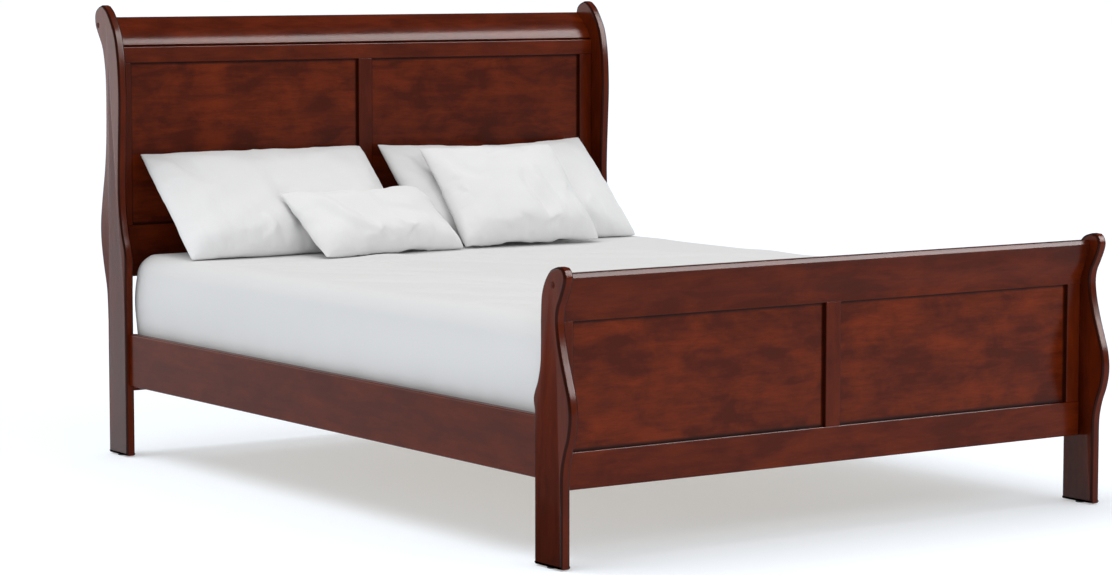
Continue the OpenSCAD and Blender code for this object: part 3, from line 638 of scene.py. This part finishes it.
def cotton(name, shade, thread=0.0006):
    """White cotton: a plain weave from two crossed waves, and a faint cloudiness."""
    f = Finish(name)
    here = f.place()
    pitch = 1 / thread / ONE_TURN
    warp = f.node("ShaderNodeTexWave", {"bands_direction": "X"}, {"Vector": here, "Scale": pitch})
    weft = f.node("ShaderNodeTexWave", {"bands_direction": "Y"}, {"Vector": here, "Scale": pitch})
    cloud = f.noise(here, 5.0)
    slub = f.noise(here, 260.0, detail=2.0)
    colour = f.blend(cloud * 0.5 + slub * 0.5, (shade * 0.95,) * 3 + (1,), (shade, shade, shade, 1))
    return f.set(Base_Color=colour, Roughness=0.86 + slub * 0.08,
                 Normal=f.bump(warp * weft + slub * 0.6, strength=0.10, distance=0.0004),
                 Sheen_Weight=0.15, Specular_IOR_Level=0.08)


sheet_cotton = cotton("sheet_cotton", 0.68)
pillow_cotton = cotton("pillow_cotton", 0.80)
ticking = cotton("mattress_ticking", 0.72, thread=0.0012)
print("three cottons")

# %% [markdown]
# A mattress is a box that foam has rounded: its top edge has a generous curve, its sides bulge a
# little, and its corners are round in plan. A fitted sheet is stretched over it and tucked under.
# Both are one surface: a rounded rectangle, and a side profile carried round it. The sheet is the
# same surface a few millimetres out, with creases, and it stops under the mattress.

# %% Mattress and sheet surfaces
mattress_low, mattress_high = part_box("mattress")
CORNER = 0.064
TOP_ROUND = 0.052
FOOT_ROUND = 0.030
BULGE = 0.006
AROUND = 600
ARC_STEPS, SIDE_STEPS, TUCK_STEPS = 10, 16, 5


def plan_outline(low, high, radius, count):
    """Points spaced evenly round a rounded rectangle."""
    ring = rounded_rectangle(low, high, radius, steps=24)
    ring = np.vstack([ring, ring[:1]])
    length = np.append(0, np.cumsum(np.linalg.norm(np.diff(ring, axis=0), axis=1)))
    at = np.linspace(0, length[-1], count, endpoint=False)
    return np.stack([np.interp(at, length, ring[:, k]) for k in (0, 1)], 1)


def side_profile(tuck):
    """(distance in from the side, height) from the top face, over the edge, down and under.

    A quarter circle of radius TOP_ROUND, a side that bulges as BULGE sin(pi s), a quarter circle
    of radius FOOT_ROUND, and tuck metres of the underside."""
    low, high = mattress_low.z, mattress_high.z
    a = np.linspace(0, math.pi / 2, ARC_STEPS)
    top = np.stack([TOP_ROUND * (1 - np.sin(a)), high - TOP_ROUND * (1 - np.cos(a))], 1)
    s = np.linspace(0, 1, SIDE_STEPS)[1:-1]
    side_z = high - TOP_ROUND - s * (high - low - TOP_ROUND - FOOT_ROUND)
    side = np.stack([-BULGE * np.sin(math.pi * s), side_z], 1)
    foot = np.stack([FOOT_ROUND * (1 - np.cos(a)), low + FOOT_ROUND * (1 - np.sin(a))], 1)
    under = np.linspace(FOOT_ROUND, FOOT_ROUND + tuck, TUCK_STEPS)[1:]
    return np.vstack([top, side, foot, np.stack([under, np.full(len(under), low)], 1)])


def wrapped_box(tuck, rings):
    """Points of the surface, ring by ring: from the middle line of the top out to its edge, then
    down the side profile. On the top, ring f of line u is at middle(u)(1 - f) + edge(u) f."""
    low, high = (mattress_low.x, mattress_low.y), (mattress_high.x, mattress_high.y)
    plan = plan_outline(low, high, CORNER, AROUND)
    near = inset(plan, TOP_ROUND)
    half_line = (high[1] - low[1]) / 2 - (high[0] - low[0]) / 2
    middle_y = (low[1] + high[1]) / 2
    middle = np.stack([np.zeros(AROUND), np.clip(plan[:, 1], middle_y - half_line,
                                                 middle_y + half_line)], 1)
    f = np.linspace(0, 1, rings)[1:-1, None, None]
    top = middle * (1 - f) + near * f
    top = np.concatenate([middle[None], top])
    top = np.concatenate([top, np.full(top.shape[:2] + (1,), mattress_high.z)], 2)
    profile = side_profile(tuck)
    side = np.stack([np.column_stack([inset(plan, d), np.full(AROUND, z)]) for d, z in profile])
    grid = np.concatenate([top, side])
    return grid, len(top)


def grid_normals(grid):
    """Unit normals of a ringed grid, from the cross product of its two directions."""
    round_it = np.roll(grid, -1, 1) - np.roll(grid, 1, 1)
    down = np.gradient(grid, axis=0)
    n = np.cross(down, round_it)
    n /= np.maximum(np.linalg.norm(n, axis=2, keepdims=True), 1e-9)
    return n


mattress_grid, _ = wrapped_box(tuck=0.0, rings=40)
print("mattress surface", mattress_grid.shape)

# %% [markdown]
# Creases in a stretched sheet start at the corners, where the elastic pulls, and fade out over
# the top. Each crease is a soft ridge: its height falls as exp(-(d / w)^2) away from its line and
# rises and falls along it. A few slow waves lie under them, and the sides hang in small gathers.

# %% Creases
SHEET_T, SOFTEN = 0.0018, 0.0012
WAVES = {"count": 14, "shortest": 0.16, "height": 0.0060, "seed": 3}
RIDGE_W, RIDGE_H = 0.7, 3.3
GATHER_H, GATHER_POWER = 0.0022, 2.5
SWELL_H, SWELL_DOWN, SWELL_ROUND = 0.0014, 9, 3
SIDE_OFF, SIDE_IN = SHEET_T + 0.0012, 0.002
CREASE_FADE = 2.2


def ridge(x, y, start, end, width, height):
    """A ridge from start to end: height exp(-(d / w)^2) across, sin(pi t)^0.7 along."""
    a, b = np.array(start), np.array(end)
    way = b - a
    length = np.linalg.norm(way)
    way = way / length
    t = ((x - a[0]) * way[0] + (y - a[1]) * way[1]) / length
    d = (x - a[0]) * -way[1] + (y - a[1]) * way[0]
    bend = 0.02 * np.sin(t * 5 + a[0] * 9)
    along = np.sin(math.pi * np.clip(t, 0, 1)) ** 0.7
    return height * along * np.exp(-((d + bend) / width) ** 2)


def slow_waves(x, y, count, shortest, height, seed):
    """A sum of sine waves in all directions, its longest about five times its shortest."""
    r = np.random.default_rng(seed)
    total = np.zeros_like(x)
    for _ in range(count):
        angle, length = r.uniform(0, math.pi), shortest * r.uniform(1, 5)
        phase = r.uniform(0, 2 * math.pi)
        along = x * np.cos(angle) + y * np.sin(angle)
        total += length * np.sin(along * 2 * math.pi / length + phase)
    return height * total / (count * shortest * 1.5)


def gathers(s, fine, coarse, wander):
    """Uneven gathers at the place s along an edge: sin(s / fine + wander sin(s / coarse))."""
    return np.sin(s / fine + wander * np.sin(s / coarse))


CREASES = [
    # (start, end, width, height), in metres. RIDGE_W and RIDGE_H multiply the last two.
    ((-0.74, 0.60), (-0.30, 0.30), 0.020, 0.0035), ((-0.70, 0.50), (-0.22, 0.05), 0.024, 0.0030),
    ((-0.66, 0.42), (-0.34, -0.10), 0.018, 0.0028), ((-0.60, 0.62), (-0.05, 0.34), 0.022, 0.0030),
    ((-0.42, 0.58), (0.10, 0.10), 0.026, 0.0030), ((-0.20, 0.55), (0.30, 0.20), 0.024, 0.0026),
    ((-0.72, 0.20), (-0.40, -0.30), 0.020, 0.0028), ((-0.55, 0.10), (-0.25, -0.42), 0.022, 0.0026),
    ((-0.70, -0.15), (-0.45, -0.60), 0.020, 0.0030),
    ((-0.62, -0.35), (-0.30, -0.72), 0.024, 0.0030),
    ((-0.50, -0.20), (-0.12, -0.66), 0.022, 0.0024), ((0.05, 0.45), (0.55, 0.20), 0.024, 0.0024),
    ((0.10, 0.30), (0.62, -0.02), 0.026, 0.0024), ((0.00, 0.00), (0.50, -0.30), 0.030, 0.0024),
    ((-0.20, -0.10), (0.30, -0.50), 0.028, 0.0024), ((-0.72, -0.55), (-0.40, -0.92), 0.020, 0.0026)]


def creased(grid, top_count):
    """The sheet: the surface pushed out by its thickness and its creases.

    A soft floor, w ln(1 + exp(h / w)), turns the height h of waves and creases into one that never
    goes below the mattress."""
    n = grid_normals(grid)
    n[:top_count - 1] = (0, 0, 1)
    x, y, z = grid[..., 0], grid[..., 1], grid[..., 2]
    push = slow_waves(x, y, **WAVES)
    for start, end, width, height in CREASES:
        push += ridge(x, y, start, end, width * RIDGE_W, height * RIDGE_H)
    push = SHEET_T + np.log1p(np.exp(push / SOFTEN)) * SOFTEN
    drop = np.clip((mattress_high.z - z) / (mattress_high.z - mattress_low.z), 0, 1)
    step = np.linalg.norm(np.roll(grid, -1, 1) - grid, axis=2)[top_count]
    round_at = np.cumsum(step)[None, :]
    gather = gathers(round_at, 0.043, 0.31, 2) * 0.5 + gathers(round_at, 0.019, 0.17, 3) * 0.5
    swell = SWELL_H * np.sin(drop * SWELL_DOWN + round_at * SWELL_ROUND)
    side = np.where(drop > 0.02, GATHER_H * gather * drop**GATHER_POWER + swell, 0)
    fade = np.clip(1 - drop * CREASE_FADE, 0.0, 1)
    out = push * fade + SIDE_OFF * (1 - fade) + np.maximum(side, -SIDE_IN)
    return grid + n * out[..., None]


def ring_object(name, grid, material, close_below):
    """A mesh from a ringed grid. The middle line is merged, and the last ring may be filled."""
    count = grid.shape[1]
    faces = band_faces(grid.shape[0], count)[:, ::-1].tolist()
    if close_below:
        faces.append(list(range((grid.shape[0] - 1) * count, grid.shape[0] * count))[::-1])
    piece = make_object(name, grid.reshape(-1, 3), faces, material)
    tidy_mesh(piece)
    return piece


def tidy_mesh(piece, gap=1e-5):
    """Merges points that coincide and turns every face outwards."""
    b = bmesh.new()
    b.from_mesh(piece.data)
    bmesh.ops.remove_doubles(b, verts=b.verts, dist=gap)
    bmesh.ops.recalc_face_normals(b, faces=b.faces)
    b.to_mesh(piece.data)
    b.free()
    piece.data.shade_smooth()


mattress_body = ring_object("mattress_body", mattress_grid, ticking, True)
sheet_grid, sheet_top = wrapped_box(tuck=0.060, rings=64)
fitted_sheet = ring_object("fitted_sheet", creased(sheet_grid, sheet_top), sheet_cotton, False)
print("sheet has", len(fitted_sheet.data.polygons), "faces")

# %% [markdown]
# A pillow case is two rectangles of cotton sewn round their edges. Filling pushes the middle out,
# and because the cloth can't stretch, the edges are drawn in between the corners and pucker. A
# cloth simulation with air pressure does exactly that: two grids share their border, and twenty
# short steps blow them up. Gravity is left out, and the slump is added afterwards.

# %% Blowing up a pillow
PILLOW_STEPS = 20


def grid_quads(n):
    """Four-sided faces of a grid, from the numbers of its points."""
    return np.stack([n[:-1, :-1], n[1:, :-1], n[1:, 1:], n[:-1, 1:]], -1).reshape(-1, 4)


def pillow_grid(width, height, thick, spacing=0.011):
    """Two grids that share a border, as a lens: z = +-thick/2 (1 - u^4)^0.5 (1 - v^4)^0.5."""
    nx, ny = int(round(width / spacing)) | 1, int(round(height / spacing)) | 1
    u, v = np.meshgrid(np.linspace(-1, 1, nx), np.linspace(-1, 1, ny), indexing="ij")
    z = thick / 2 * np.sqrt(np.maximum((1 - u**4) * (1 - v**4), 0))
    front = np.stack([u * width / 2, v * height / 2, z], -1)
    number = np.arange(nx * ny).reshape(nx, ny)
    inner = np.full((nx, ny), -1)
    inner[1:-1, 1:-1] = np.arange((nx - 2) * (ny - 2)).reshape(nx - 2, ny - 2) + nx * ny
    back_number = np.where(inner < 0, number, inner)
    back = front[1:-1, 1:-1].reshape(-1, 3) * (1, 1, -1)
    faces = np.vstack([grid_quads(number), grid_quads(back_number)[:, ::-1]])
    return np.vstack([front.reshape(-1, 3), back]), faces, (nx, ny)


def blow_up(piece, pressure, most):
    """Runs the cloth for a few steps, and keeps each point within a distance of its start."""
    start = points_of(piece)
    cloth = piece.modifiers.new("cloth", "CLOTH")
    s = cloth.settings
    s.quality, s.mass, s.time_scale = 6, 0.12, 0.8
    s.tension_stiffness = s.compression_stiffness = 22
    s.shear_stiffness, s.bending_stiffness = 6, 0.10
    s.use_pressure, s.uniform_pressure_force = True, pressure
    s.effector_weights.gravity = 0
    cloth.point_cache.frame_start, cloth.point_cache.frame_end = 1, PILLOW_STEPS
    scene = bpy.context.scene
    for step in range(1, PILLOW_STEPS + 1):
        scene.frame_set(step)
    ready = piece.evaluated_get(bpy.context.evaluated_depsgraph_get())
    move = points_of(ready) - start
    far = np.linalg.norm(move, axis=1, keepdims=True)
    end = start + move * np.minimum(1, most / np.maximum(far, 1e-9))
    piece.modifiers.remove(cloth)
    scene.frame_set(1)
    return end


print("each pillow is blown up in", PILLOW_STEPS, "steps")

# %% [markdown]
# The blown shape is too even. A real case is straighter along its lower edge, where it stands, and
# its filling sinks, so the lower half is fuller than the upper. Small gathers start at the seams.

# %% Shaping a pillow
STRAIGHTEN = ((1, -1, 0.92), (1, 1, 0.55), (0, -1, 0.75), (0, 1, 0.75))
ROUND_POWER = 2.6
BLOWN, LENS = 0.45, 0.55
SEAM_GATHERS = ((1, -1, 0.0065, 0.055), (1, 1, 0.0015, 0.030),
                (0, -1, 0.0024, 0.035), (0, 1, 0.0024, 0.035))
GATHER_STEPS = (0.021, 0.034, 0.055, 0.090)
GATHER_LEAN, SEAM_FLAT, GATHER_SUM = 12, 0.010, 2.5


def straighten(p, shape, axis, sign, share):
    """Undoes a share of the inward curve of one edge, fading out towards the opposite edge."""
    nx, ny = shape
    grid = p[:nx * ny].reshape(nx, ny, 3)
    end = -1 if sign > 0 else 0
    row = grid[:, end] if axis == 1 else grid[end]
    other = 1 - axis
    order = np.argsort(row[:, other])
    tip = sign * np.max(sign * row[:, axis])
    gap = np.interp(p[:, other], row[order, other], tip - row[order, axis])
    reach = np.clip(0.5 + sign * p[:, axis] / (2 * abs(tip)), 0, 1)
    p[:, axis] += share * gap * reach
    return p


def slump(p, shape, width, height, front, back, sag):
    """Fits the blown shape to its size: its depth is BLOWN of its own and LENS of a lens, and it
    falls by the share sag from the middle to the top."""
    for axis, sign, share in STRAIGHTEN:
        p = straighten(p, shape, axis, sign, share)
    size = p.max(0) - p.min(0)
    p = p * np.array([width / size[0], height / size[1], 1])
    u, v = p[:, 0] / (width / 2), p[:, 1] / (height / 2)
    plump = np.sqrt(np.maximum((1 - np.abs(u)**ROUND_POWER) * (1 - np.abs(v)**ROUND_POWER), 0))
    lens = np.sign(p[:, 2]) * plump * size[2] / 2
    full = np.where(p[:, 2] > 0, front, back) / (size[2] / 2)
    p[:, 2] = (BLOWN * p[:, 2] + LENS * lens) * full * (1 - sag * v)
    return p


def puckers(p, width, height, seed):
    """Small gathers that start at the seams and fade inwards, deepest along the lower one.

    Height exp(-d / reach) g(s), where d is the distance from the seam and g is a sum of sines of
    the place s along it."""
    r = np.random.default_rng(seed)
    total = np.zeros(len(p))
    for axis, sign, high, reach in SEAM_GATHERS:
        d = (width if axis == 0 else height) / 2 - sign * p[:, axis]
        s = p[:, 1 - axis]
        g = sum(np.sin(2 * math.pi * (s / step + r.uniform()) + GATHER_LEAN * d * r.uniform(-1, 1))
                for step in GATHER_STEPS)
        total += high * np.exp(-d / reach) * np.minimum(1, d / SEAM_FLAT) * g / GATHER_SUM
    return total


def stand_up(p, node_x, front_of_head, slope, turn, rest_z, height):
    """Stands the pillow on its lower edge, leans it back and turns it.

    Its width runs along w, its height along u = back cos(slope) + up sin(slope), and its front
    faces w x u."""
    slope, turn = math.radians(slope), math.radians(turn)
    w = np.array([math.cos(turn), math.sin(turn), 0])
    back = np.array([-math.sin(turn), math.cos(turn), 0])
    up = back * math.cos(slope) + np.array([0, 0, math.sin(slope)])
    out = np.cross(w, up)
    foot = np.array([node_x, head_face - front_of_head, rest_z])
    return foot + p[:, :1] * w + (p[:, 1:2] + height / 2) * up + p[:, 2:] * out


def settle(points, floor_z):
    """Flattens the pillow where it rests: whatever is below floor_z is lifted to it."""
    points[:, 2] = np.maximum(points[:, 2], floor_z)
    return points


print("pillows are shaped along", len(STRAIGHTEN), "edges")

# %% [markdown]
# The two large pillows lean on the headboard, and the square cushion and the small pillow lean on
# them. Each front has a few folds of its own, made as the sheet's creases are.

# %% Pillows
BED_TOP = mattress_high.z + 0.004
BLANK = {"wider": 1.03, "taller": 1.04, "thick": 0.095}
PRESSURE, MOST_MOVE = 5.0, 0.030
RIM_DEPTH, FRONT_DEPTH = 0.02, 0.004
RUMPLES, RUMPLE_LENGTH, RUMPLE = 18, 0.045, 0.006
FOLD_DEPTH = 1.8
DIP = {"pillow_right": 0.022}
PILLOWS = {
    # name: (x, in front of the head frame, slope, turn, width, height, front, back, sag)
    "pillow_left": (-0.385, 0.320, 41.5, -1.5, 0.690, 0.408, 0.060, 0.045, 0.22),
    "pillow_right": (0.365, 0.318, 42.0, -1.5, 0.690, 0.408, 0.058, 0.045, 0.22),
    "square_cushion": (0.290, 0.417, 44.0, -3.0, 0.440, 0.375, 0.064, 0.014, 0.18),
    "small_pillow": (-0.172, 0.442, 36.0, 5.0, 0.470, 0.272, 0.055, 0.014, 0.15)}
FOLDS = {
    # soft folds on each front: (start, end, half width, height), in metres from its middle
    "pillow_left": [
        ((-0.01, 0.09), (0.04, -0.22), 0.038, -0.008),
        ((-0.28, 0.17), (-0.27, -0.15), 0.022, -0.004),
        ((-0.33, 0.19), (-0.18, 0.05), 0.018, -0.006),
        ((-0.02, -0.19), (0.06, -0.02), 0.016, 0.006),
        ((0.06, -0.19), (0.10, -0.05), 0.012, -0.006),
        ((-0.12, -0.19), (-0.10, -0.10), 0.010, 0.005)],
    "pillow_right": [
        ((-0.32, 0.17), (-0.20, 0.02), 0.020, -0.006),
        ((0.20, -0.19), (0.22, -0.08), 0.012, 0.004)],
    "square_cushion": [
        ((0.06, 0.05), (0.03, -0.17), 0.010, -0.007),
        ((0.09, 0.08), (0.07, -0.17), 0.014, 0.006),
        ((-0.20, 0.15), (-0.08, 0.02), 0.018, -0.005),
        ((0.13, -0.16), (0.15, -0.04), 0.010, 0.004)],
    "small_pillow": [
        ((-0.21, 0.11), (-0.04, -0.10), 0.016, 0.007),
        ((0.02, 0.06), (0.12, -0.06), 0.014, -0.005),
        ((-0.10, -0.12), (-0.02, -0.05), 0.010, 0.005),
        ((0.05, -0.12), (0.04, -0.03), 0.010, 0.005)]}


def folded(p, node, width, height):
    """Adds the gathers, the rumples, the folds of this pillow's front and the dip in its top."""
    p[:, 2] += np.sign(p[:, 2]) * puckers(p, width, height, len(node) + int(width * 1000))
    inside = np.clip(np.abs(p[:, 2]) / RIM_DEPTH, 0, 1)
    p[:, 2] += inside * slow_waves(p[:, 0], p[:, 1], RUMPLES, RUMPLE_LENGTH, RUMPLE, len(node))
    for start, end, wide, high in FOLDS[node]:
        front = p[:, 2] > FRONT_DEPTH
        p[front, 2] += FOLD_DEPTH * ridge(p[front, 0], p[front, 1], start, end, wide, high)
    across, upward = p[:, 0] / (width / 2), np.clip(0.5 + p[:, 1] / height, 0, 1)
    p[:, 1] -= DIP.get(node, 0) * (1 - across**2) * upward**2
    return p


pillow_pieces = {}
for node, (x, ahead, slope, turn, width, height, front, back, sag) in PILLOWS.items():
    points, faces, counts = pillow_grid(width * BLANK["wider"], height * BLANK["taller"],
                                        BLANK["thick"])
    piece = make_object(f"{node}_cushion", points, faces.tolist(), pillow_cotton)
    shape = blow_up(piece, PRESSURE, MOST_MOVE)
    shape = slump(shape.copy(), counts, width, height, front, back, sag)
    shape = folded(shape, node, width, height)
    shape = settle(stand_up(shape, x, ahead, slope, turn, BED_TOP, height), BED_TOP)
    piece.data.vertices.foreach_set("co", shape.ravel())
    piece.data.update()
    soft = piece.modifiers.new("soft", "SUBSURF")
    soft.levels = soft.render_levels = 1
    pillow_pieces[node] = piece

# %% [markdown]
# The bed stands on a plain pale floor. A floor that runs a long way back needs no wall, because
# the camera looks down at it. It gives a little light of its own, as a lit studio floor seems to.

# %% Floor and lights
FLOOR_HALF = 140.0
SKY_MATT, SKY_GLOSS = 0.62, 0.16
floor_finish = Finish("studio_floor")
floor_paint = floor_finish.set(Base_Color=(0.665, 0.72, 0.785, 1), Roughness=0.75,
                               Specular_IOR_Level=0.1,
                               Emission_Color=(1.0, 1.0, 1.0, 1), Emission_Strength=0.34)
corners = np.array([[-1, -1, 0], [1, -1, 0], [1, 1, 0], [-1, 1, 0]]) * FLOOR_HALF
floor = make_object("studio_floor", corners, [[0, 1, 2, 3]], floor_paint)

bpy.context.scene.view_settings.view_transform = "Standard"
world = bpy.data.worlds.new("studio")
bpy.context.scene.world = world
world.use_nodes = True
sky = world.node_tree.nodes["Background"]
sky.inputs["Color"].default_value = (1.0, 1.0, 1.0, 1)
path = world.node_tree.nodes.new("ShaderNodeLightPath")
dim = world.node_tree.nodes.new("ShaderNodeMapRange")
dim.inputs["To Min"].default_value, dim.inputs["To Max"].default_value = SKY_MATT, SKY_GLOSS
world.node_tree.links.new(path.outputs["Is Glossy Ray"], dim.inputs["Value"])
world.node_tree.links.new(dim.outputs["Result"], sky.inputs["Strength"])


def soft_box(name, where, target, size, watts, matt=True):
    """A rectangular area light that faces a point. A box with matt off shows only in gloss."""
    light = bpy.data.lights.new(name, "AREA")
    light.shape, light.size, light.size_y = "RECTANGLE", *size
    light.energy = watts
    lamp = bpy.data.objects.new(name, light)
    bpy.context.scene.collection.objects.link(lamp)
    lamp.location = where
    lamp.visible_diffuse = matt
    lamp.visible_camera = False
    lamp.rotation_euler = (Vector(target) - Vector(where)).to_track_quat("-Z", "Y").to_euler()


sun = bpy.data.objects.new("sky_light", bpy.data.lights.new("sky_light", "SUN"))
bpy.context.scene.collection.objects.link(sun)
sun.data.energy = 1.5
sun.data.angle = math.radians(45)
sun.visible_glossy = False
sun.rotation_euler = Vector((0.30, -0.22, -1)).to_track_quat("-Z", "Y").to_euler()
soft_box("front_box", (0.8, -5.5, 3.6), target=(0, -1, 0.5), size=(3.5, 2.0), watts=60)
soft_box("right_gloss", (8.4, -7.4, 8.5), target=(0, 0, 0.9), size=(8.8, 9.2), watts=7600,
         matt=False)
soft_box("left_gloss", (-4.1, 4.9, 1.5), target=(-0.8, 0, 0.5), size=(4.6, 2.4), watts=110,
         matt=False)
print("one sun, three boxes and a white sky")

# %% [markdown]
# Last, every piece rides on its body and stands for its piece of the frame, which is hidden.

# %% Ride and replace
wooden = {**posts, **boards, "head_crest": head_roll, "foot_crest_rail": foot_roll}
for node, piece in wooden.items():
    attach(piece, "bedstead")
    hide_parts(node)
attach(plug_piece, "bedstead")
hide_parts("post_plugs")

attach(mattress_body, "mattress")
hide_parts("mattress")
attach(fitted_sheet, "mattress")
for node, piece in pillow_pieces.items():
    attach(piece, node)
    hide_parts(node)
